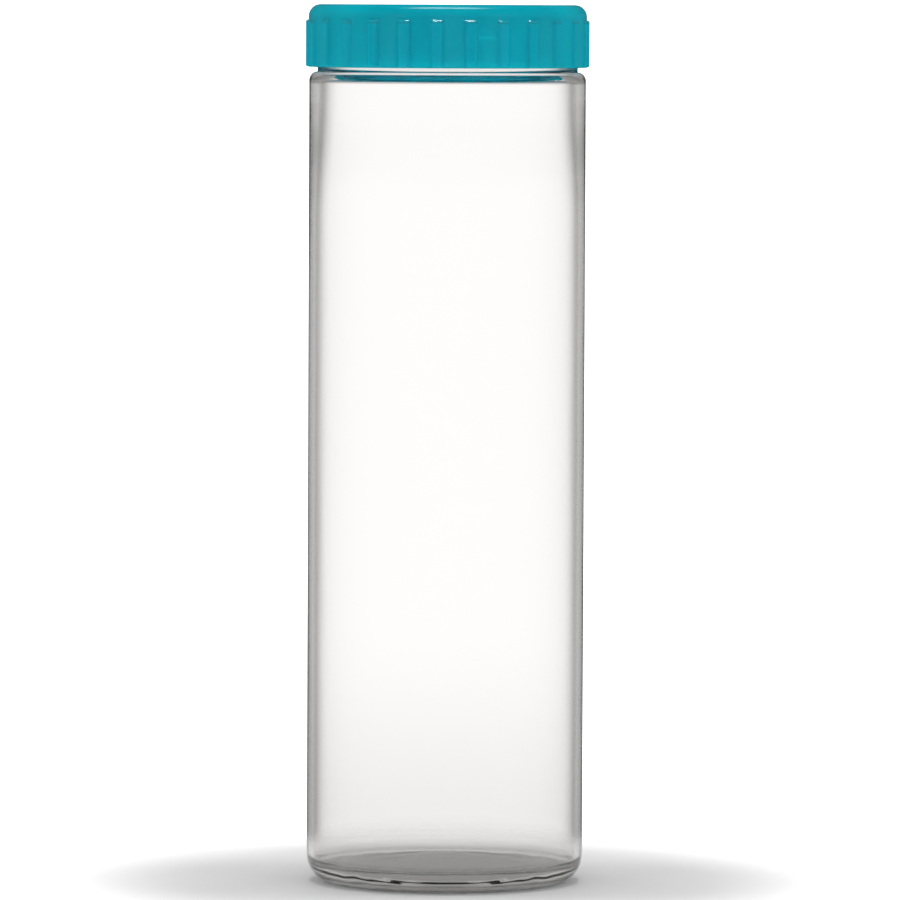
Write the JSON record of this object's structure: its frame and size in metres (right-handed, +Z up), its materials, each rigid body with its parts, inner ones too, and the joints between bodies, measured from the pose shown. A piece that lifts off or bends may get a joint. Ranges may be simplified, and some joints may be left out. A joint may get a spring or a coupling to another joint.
{
  "type": "lidded glass canister",
  "caption": "Tall straight glass storage jar with a shallow ribbed translucent plastic twist lid and a silicone seal ring.",
  "frame": {"origin": "centre of the ring that the jar stands on, at the standing surface", "axes": "+Z up along the jar's axis; +X towards the middle of one lid lug at rest; -Y is the front"},
  "size_m": [0.0924, 0.0924, 0.286],
  "materials": {
    "clear_glass": "clear, glossy",
    "teal_plastic": "translucent teal, glossy",
    "seal_silicone": "milky translucent silicone, satin"
  },
  "bodies": {
    "jar": {"jar": "clear_glass"},
    "seal": {"seal_ring": "seal_silicone"},
    "lid": {"lid": "teal_plastic"}
  },
  "joints": [
    {"name": "lid_lift", "type": "slide", "parent": "jar", "child": "seal", "axis": [0, 0, 1], "range_m": [0, 0.12]},
    {"name": "lid_turn", "type": "hinge", "parent": "seal", "child": "lid", "pos_m": [0, 0, 0.276], "axis": [0, 0, 1], "range_deg": [-65, 0]}
  ]
}
